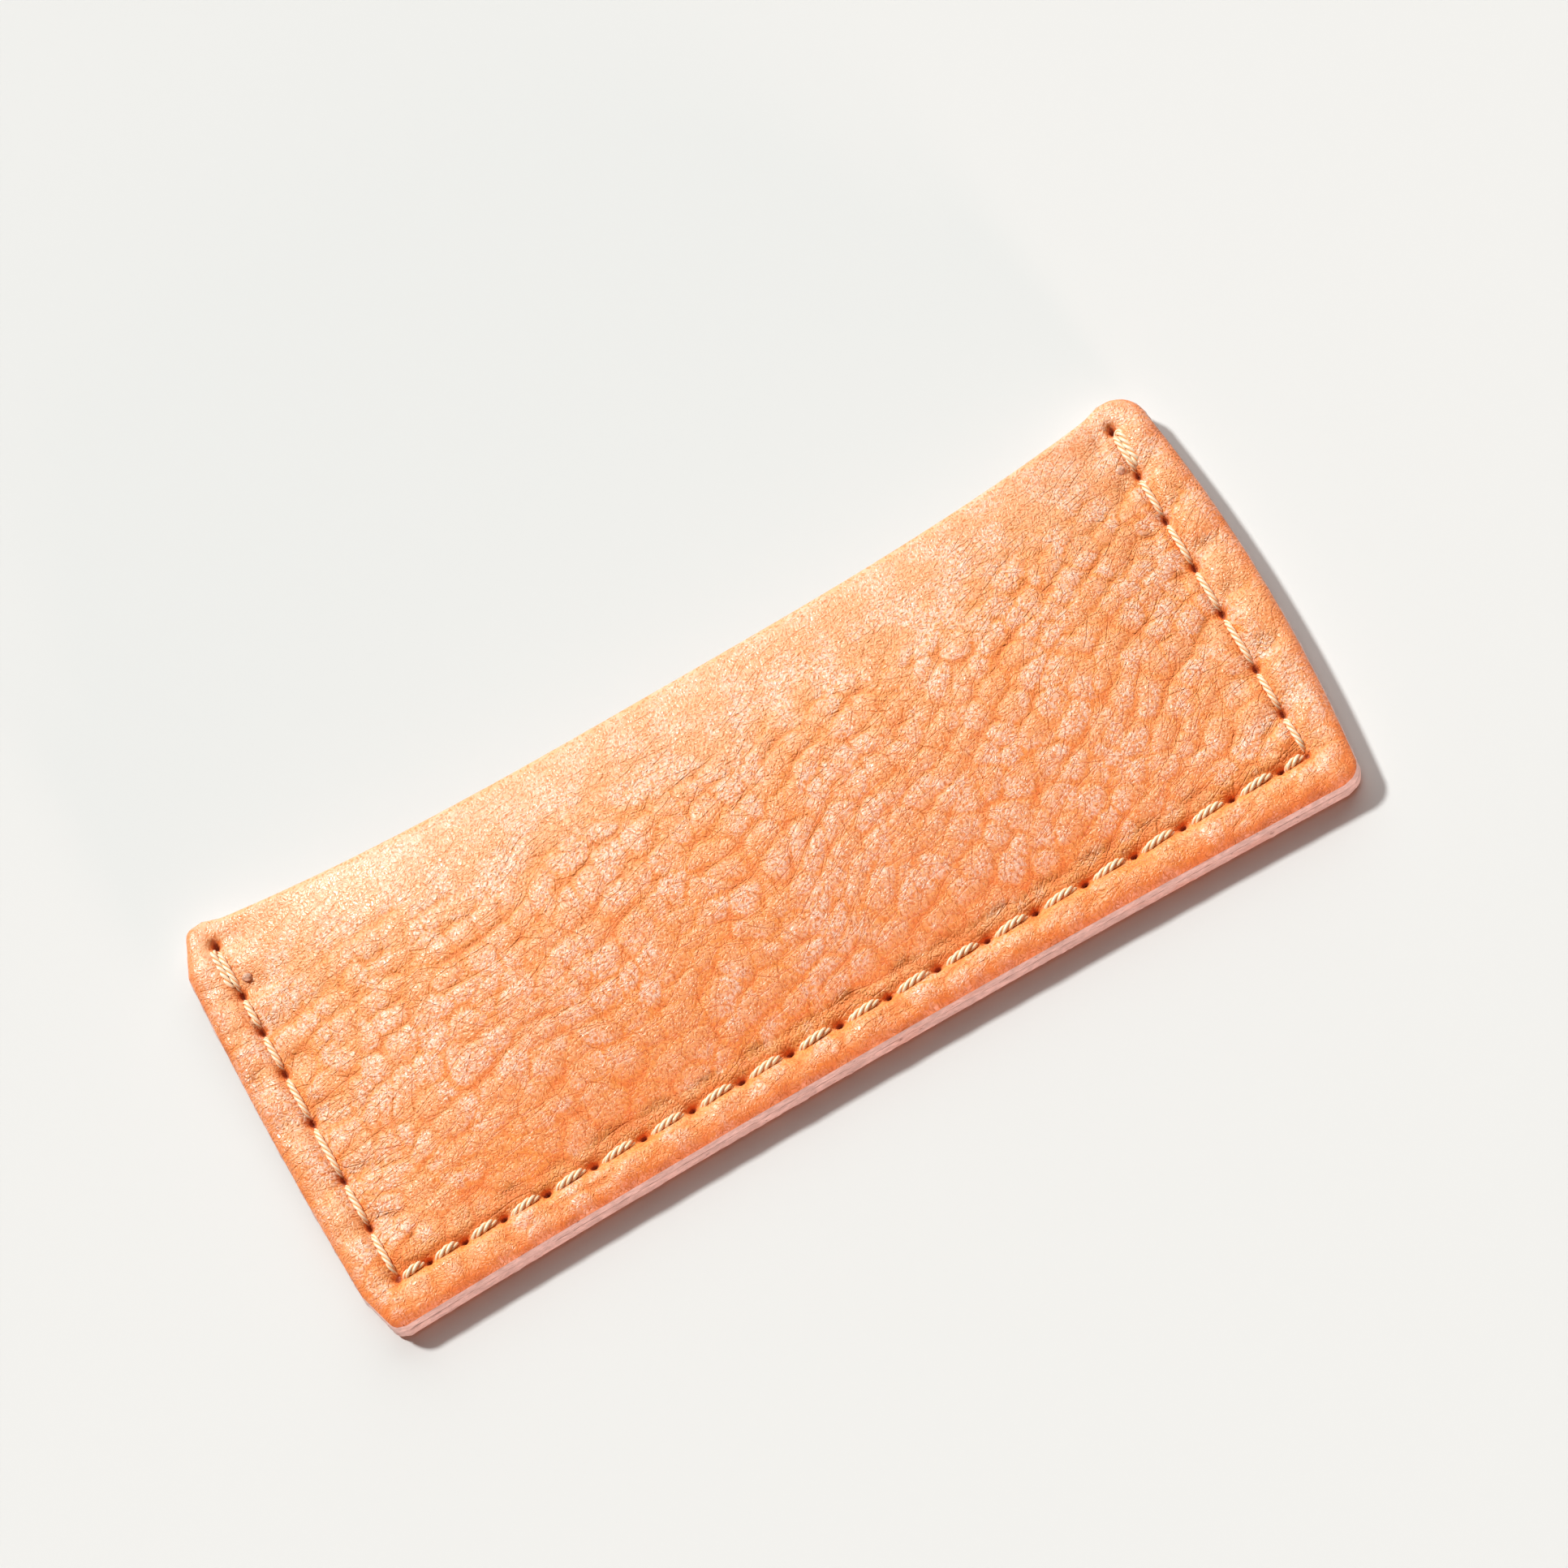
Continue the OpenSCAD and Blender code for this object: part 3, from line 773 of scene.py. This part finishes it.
def thread_material(thread):
    """Waxed twisted thread, with fine fibres, and darker wax and painted shade between the plies."""
    n = Nodes("waxed_thread")
    fibre = n.noise(n.place((5000, 5000, 5000)), detail=4.0, roughness=0.7)
    colour = n.paint(
        rgba(thread.colour, 0.88),
        (n.spread(fibre, 0.3, 0.7), rgba(thread.colour)),
        (n.spread(n.field("between"), 0.2, 0.65, 0.0, 0.95), WAX_AND_SHADE))
    return n.surface(Base_Color=colour, Roughness=0.32, Specular_IOR_Level=0.7,
                     Normal=n.bump(fibre, 0.00003, 0.5))


def melted_material(thread):
    """Bead of melted thread."""
    n = Nodes("melted_thread")
    soot = n.noise(n.place((2200, 2200, 2200)), detail=3.0)
    colour = n.blend(n.spread(soot, 0.4, 0.65), rgba(thread.melted), rgba(thread.melted, 0.6))
    return n.surface(Base_Color=colour, Roughness=0.25, Coat_Weight=0.3, Normal=n.bump(soot, 0.0001, 0.6))


# ---- Thread ----

THREAD_STEP = 0.14                  # distance between the rings of a ply
PLY_NEST = 0.88                     # plies press into each other, so they lie closer than side by side
FRONT_STITCH_Z = RIM_Z + 0.02       # height of a stitch's middle line at its top
BACK_STITCH_Z = 0.52
SLANT = 0.2                         # a stitch on the long side leans across the seam
SIDE_SLANT = 0.04
LONG_THREAD = 0.84                  # how thick the thread looks along the long side
SIDE_THREAD = 0.66                  # and along the short sides, where it is pulled thinner
BESIDE = 0.55                       # from a back-stitch to the stitch that it doubles
# (share of the stitch, depth below its top, thickness share) along a stitch from hole to hole
STITCH_SHAPE = ((0, 1.1, 0.7), (0.07, 0.55, 0.8), (0.22, 0.1, 1.0), (0.5, 0, 1.08), (0.78, 0.1, 1.0),
                (0.93, 0.55, 0.8), (1, 1.1, 0.7))


def smooth_line(points, spacing):
    """A smooth curve through points of any dimension, resampled evenly by its first three coordinates."""
    p = np.array(points)
    before = np.vstack([2 * p[0] - p[1], p[:-1]])
    after = np.vstack([p[1:], 2 * p[-1] - p[-2]])
    tangent = (after - before) / 2
    t = np.linspace(0, 1, 12, endpoint=False)[:, None]
    start, leaving = 2 * t**3 - 3 * t**2 + 1, t**3 - 2 * t**2 + t
    end, arriving = 3 * t**2 - 2 * t**3, t**3 - t**2
    spans = [start * a + leaving * ta + end * b + arriving * tb
             for a, b, ta, tb in zip(p[:-1], p[1:], tangent[:-1], tangent[1:])]
    line = np.vstack([*spans, p[-1:]])
    along = np.concatenate([[0], np.cumsum(np.linalg.norm(np.diff(line[:, :3], axis=0), axis=1))])
    at = np.linspace(0, along[-1], int(along[-1] / spacing) + 2)
    return np.stack([np.interp(at, along, line[:, k]) for k in range(p.shape[1])], -1), at


def carried_frames(line):
    """Two directions across a line, carried along it without twisting."""
    tangent = np.gradient(line, axis=0)
    tangent /= np.linalg.norm(tangent, axis=1)[:, None]
    u = np.cross(tangent[0], (0.3, 0.2, 1.0))
    first = []
    for t in tangent:
        u = u - (u @ t) * t
        u = u / np.linalg.norm(u)
        first.append(u)
    first = np.array(first)
    return first, np.cross(tangent, first)


def twisted(name, paths, thread, material, squeeze=0.85, sides=8):
    """One mesh of twisted plies along each path of (x, y, z, thickness share) points in millimetres."""
    ply_r, turn = thread.ply_radius / MM, thread.turn / MM
    points, faces, between, count = [], [], [], 0
    for path in paths:
        line, along = smooth_line(path, THREAD_STEP)
        line, size = line[:, :3], line[:, 3:]
        u, w = carried_frames(line)
        for ply in range(thread.plies):
            angle = (2 * math.pi * (ply / thread.plies - along / turn))[:, None]
            centre = line + (np.cos(angle) * u + np.sin(angle) * w) * ply_r * PLY_NEST * size
            for s in range(sides):
                a = angle + 2 * math.pi * s / sides
                ring = centre + (np.cos(a) * u + np.sin(a) * w) * ply_r * size
                ring[:, 2] = line[:, 2] + (ring[:, 2] - line[:, 2]) * squeeze
                points.append(ring)
                between.append(np.full(len(line), 0.5 - 0.5 * math.cos(2 * math.pi * s / sides)))
            index = np.arange(sides * len(line)).reshape(sides, len(line)) + count
            count += index.size
            around = np.roll(index, -1, 0)
            tube = np.stack([index[:, :-1], around[:, :-1], around[:, 1:], index[:, 1:]], -1)
            faces += [tube.reshape(-1, 4), index[::-1, 0][None], index[:, -1][None]]
    mesh = new_mesh(name, np.concatenate(points), faces, [material])
    give_fields(mesh, {"between": np.concatenate(between)})
    return mesh


def needle_path(phase):
    """One needle's way through all the holes: over on every other stitch, under on the rest."""
    path = []
    for k, (here, there) in enumerate(zip(HOLES[:-1], HOLES[1:])):
        over = (k + phase) % 2 == 0
        length = np.linalg.norm(there - here)
        run = (there - here) / length
        left = np.array([-run[1], run[0]])
        on_long_side = abs(run[0]) > 0.5
        lean, size = (SLANT, LONG_THREAD) if on_long_side else (SIDE_SLANT, SIDE_THREAD)
        hidden = min(0.75, 0.16 * length) if on_long_side else 0.45
        a = here + run * hidden - left * lean
        b = there - run * hidden + left * lean
        for share, drop, thick in STITCH_SHAPE:
            z = FRONT_STITCH_Z - drop if over else BACK_STITCH_Z + 0.5 * drop
            path.append((*(a + (b - a) * share), z, thick * size))
        path.append((*there, RIM_Z / 2, 0.7 * size))
    return path[:-1]


# ---- Operators: one for each piece or group of like pieces ----

AIM_RIGHT = 0.00195      # how far the camera aims beside and above the holder's middle, in metres
AIM_UP = 0.0056
SENSOR = 36              # width of the camera's sensor


class CARDHOLDER_OT_stage(bpy.types.Operator):
    """Make the camera, the lights and the floor"""

    bl_idname = "cardholder.stage"
    bl_label = "Stage"

    def execute(self, context):
        s = context.scene.cardholder_stage
        context.scene.view_settings.view_transform = "Standard"
        low, high = (Vector(v) for v in CAD_BOX)
        centre = (low + high) / 2
        away = Vector((math.sin(s.azimuth) * math.cos(s.elevation),
                       -math.cos(s.azimuth) * math.cos(s.elevation), math.sin(s.elevation)))
        right = Vector((0, 0, 1)).cross(away).normalized()
        up = away.cross(right)
        rolled_right = math.cos(s.roll) * right - math.sin(s.roll) * up
        rolled_up = math.sin(s.roll) * right + math.cos(s.roll) * up
        aim = centre + AIM_RIGHT * rolled_right + AIM_UP * rolled_up
        camera = bpy.data.objects.new("camera", bpy.data.cameras.new("camera"))
        camera.data.sensor_width = SENSOR
        camera.data.lens = SENSOR * s.distance / s.field
        camera.data.clip_start, camera.data.clip_end = 0.01, 20
        camera.matrix_world = Matrix.Translation(aim + away * s.distance) @ Matrix(
            (rolled_right, rolled_up, away)).transposed().to_4x4()
        context.scene.collection.objects.link(camera)
        context.scene.camera = camera

        self.add_sun(context, "sun", s.sun, 7, (1.0, 1.0, 0.985), (-0.37, 0.58, 0.77))
        self.add_sun(context, "window", s.window, 70, (1.0, 0.99, 0.97), (0.3, 0.7, 0.6))
        self.add_sun(context, "front_fill", s.fill, 8, (1.0, 0.66, 0.58), (0.1, -0.98, 0.07))

        # A dim sky, with the pale backdrop only just above the horizon
        world = bpy.data.worlds.new("world")
        world.use_nodes = True
        tree = world.node_tree
        ground = tree.nodes["Background"]
        split = tree.nodes.new("ShaderNodeSeparateXYZ")
        ramp = tree.nodes.new("ShaderNodeValToRGB")
        backdrop, overhead = ramp.color_ramp.elements
        backdrop.position = 0.04
        backdrop.color = (s.surround, s.surround * 0.985, s.surround * 0.96, 1)
        overhead.position = 0.14
        overhead.color = (s.sky, s.sky * 0.6, s.sky * 0.5, 1)
        tree.links.new(tree.nodes.new("ShaderNodeTexCoord").outputs["Generated"], split.inputs[0])
        tree.links.new(split.outputs["Z"], ramp.inputs[0])
        tree.links.new(ramp.outputs["Color"], ground.inputs["Color"])
        context.scene.world = world

        bpy.ops.mesh.primitive_plane_add(size=6, location=(0, 0, 0))
        floor = context.object
        floor.name = "floor"
        matt = Nodes("plain_floor").surface(Base_Color=rgba(s.floor), Roughness=0.9, Specular_IOR_Level=0.1)
        floor.data.materials.append(matt)
        return {"FINISHED"}

    def add_sun(self, context, name, strength, size, colour, towards):
        """Adds a sun lamp whose light comes from a direction, size degrees across."""
        data = bpy.data.lights.new(name, "SUN")
        data.energy, data.angle, data.color = strength, math.radians(size), colour
        lamp = bpy.data.objects.new(name, data)
        lamp.rotation_euler = Vector(towards).to_track_quat("Z", "Y").to_euler()
        context.scene.collection.objects.link(lamp)


class CARDHOLDER_OT_front_panel(bpy.types.Operator):
    """Make the puffed front panel"""

    bl_idname = "cardholder.front_panel"
    bl_label = "Front panel"

    def execute(self, context):
        leather = context.scene.cardholder_leather
        x, y = panel_grid(leather.step / MM)
        z, fields = front_height(x, y, leather.pebble / MM)
        materials = [grain_material(leather), cut_material(leather), flesh_material(leather)]
        mesh = slab("front_panel", (x, y, z), lambda a, b: LEATHER + GAP + puff(a, b), FRONT_WALL, materials)
        give_fields(mesh, fields | flow_fields(x, y))
        add_piece("front_panel", mesh, "leather", "front_panel")
        return {"FINISHED"}


class CARDHOLDER_OT_back_panel(bpy.types.Operator):
    """Make the flat back panel"""

    bl_idname = "cardholder.back_panel"
    bl_label = "Back panel"

    def execute(self, context):
        leather = context.scene.cardholder_leather
        x, y = panel_grid(BACK_COARSER * leather.step / MM)
        s = inside_seam(x, y)
        sewn, mouth = edge_distance(x, y)
        channel = np.exp(-((s / 0.6) ** 2)) * (y < TOP_HOLE_Y + 0.6)
        hole = hole_field(x, y, HOLE_REACH)
        _, pebbles, _, fine, crease = grain_relief(-x, y)
        z = (0.02 + 0.05 * (1 - pebbles) + 0.02 * (1 - fine) + 0.62 * channel + 0.5 * hole
             + 0.3 * rounded(1 - np.minimum(sewn, mouth) / 0.6, 1))
        materials = [bpy.data.materials[m] for m in ("leather_grain", "leather_cut_edge", "leather_flesh")]
        mesh = slab("back_panel", (x, y, z), lambda a, b: np.full_like(a, LEATHER - GAP), BACK_WALL,
                    materials, upwards=False)
        burnish_and_shade = np.exp(-(sewn**2))
        give_fields(mesh, {"hollow": crease * 0.5, "hole": hole, "burnish_and_shade": burnish_and_shade} | flow_fields(-x, y))
        add_piece("back_panel", mesh, "leather", "back_panel")
        return {"FINISHED"}


class CARDHOLDER_OT_saddle_stitch(bpy.types.Operator):
    """Make the two needles' threads of the saddle stitch"""

    bl_idname = "cardholder.saddle_stitch"
    bl_label = "Saddle stitch"

    def execute(self, context):
        thread = context.scene.cardholder_thread
        material = thread_material(thread)
        for name, phase in (("needle_a_thread", 0), ("needle_b_thread", 1)):
            add_piece(name, twisted(name, [needle_path(phase)], thread, material), "thread", name)
        return {"FINISHED"}


class CARDHOLDER_OT_back_stitches(bpy.types.Operator):
    """Make the doubled first and last stitch"""

    bl_idname = "cardholder.back_stitches"
    bl_label = "Back-stitches"

    def execute(self, context):
        thread = context.scene.cardholder_thread
        material = bpy.data.materials["waxed_thread"]
        ends = (("left_back_stitch", LEFT_HOLES[:2], -1), ("right_back_stitch", RIGHT_HOLES[:-3:-1], 1))
        for name, ((x, top), (_, low)), side in ends:
            at = x + side * BESIDE
            path = [(x + side * 0.2, top - 0.4, RIM_Z - 0.9, 0.7), (at, top - 0.7, RIM_Z - 0.1, 0.8),
                    (at, (top + low) / 2, RIM_Z + 0.08, 0.85), (at, low + 1.2, RIM_Z - 0.1, 0.8),
                    (x + side * 0.2, low + 0.9, RIM_Z - 0.9, 0.7)]
            add_piece(name, twisted(name, [path], thread, material), "thread", name)
        return {"FINISHED"}


class CARDHOLDER_OT_thread_ends(bpy.types.Operator):
    """Make the melted thread ends"""

    bl_idname = "cardholder.thread_ends"
    bl_label = "Thread ends"

    def execute(self, context):
        thread = context.scene.cardholder_thread
        material = melted_material(thread)
        for name, seed in (("left_thread_end", 51), ("right_thread_end", 52)):
            low, high = node_box(name)
            centre, size = (low + high) / 2, (high - low) / 2
            rings, sides = 14, 22
            down = np.linspace(0.02, math.pi - 0.02, rings)
            theta, phi = np.meshgrid(down, np.arange(sides) * 2 * math.pi / sides, indexing="ij")
            ball = np.stack([np.sin(theta) * np.cos(phi), np.sin(theta) * np.sin(phi), np.cos(theta)], -1)
            lump = 1 + 0.22 * noise(ball[..., 0] + 3 * ball[..., 2], ball[..., 1], 0.7, seed)
            ball = ball * lump[..., None] * (size * (0.85, 0.85, 1.1)) + centre
            index = np.arange(rings * sides).reshape(rings, sides)
            around = np.roll(index, -1, 1)
            quads = np.stack([index[:-1], index[1:], around[1:], around[:-1]], -1).reshape(-1, 4)
            mesh = new_mesh(name, ball.reshape(-1, 3), [quads, index[:1], index[-1:, ::-1]], [material])
            add_piece(name, mesh, "thread_end", name)
        return {"FINISHED"}


class CARDHOLDER_PT_build(bpy.types.Panel):
    """Buttons and values of the card holder"""

    bl_label = "Card Holder"
    bl_idname = "CARDHOLDER_PT_build"
    bl_space_type = "VIEW_3D"
    bl_region_type = "UI"
    bl_category = "Card Holder"

    def draw(self, context):
        for operator in OPERATORS:
            self.layout.operator(operator.bl_idname)
        scene = context.scene
        for group in (scene.cardholder_leather, scene.cardholder_thread, scene.cardholder_stage):
            for name in group.__annotations__:
                self.layout.prop(group, name)


OPERATORS = (
    CARDHOLDER_OT_stage,
    CARDHOLDER_OT_front_panel,
    CARDHOLDER_OT_back_panel,
    CARDHOLDER_OT_saddle_stitch,
    CARDHOLDER_OT_back_stitches,
    CARDHOLDER_OT_thread_ends,
)
CLASSES = (CardHolderLeather, CardHolderThread, CardHolderStage, *OPERATORS, CARDHOLDER_PT_build)


def register():
    for c in CLASSES:
        bpy.utils.register_class(c)
    bpy.types.Scene.cardholder_leather = PointerProperty(type=CardHolderLeather)
    bpy.types.Scene.cardholder_thread = PointerProperty(type=CardHolderThread)
    bpy.types.Scene.cardholder_stage = PointerProperty(type=CardHolderStage)


def unregister():
    del bpy.types.Scene.cardholder_leather
    del bpy.types.Scene.cardholder_thread
    del bpy.types.Scene.cardholder_stage
    for c in reversed(CLASSES):
        bpy.utils.unregister_class(c)


def main():
    register()
    bpy.ops.cardholder.stage()
    bpy.ops.cardholder.front_panel()
    bpy.ops.cardholder.back_panel()
    bpy.ops.cardholder.saddle_stitch()
    bpy.ops.cardholder.back_stitches()
    bpy.ops.cardholder.thread_ends()


if __name__ == "__main__":
    main()
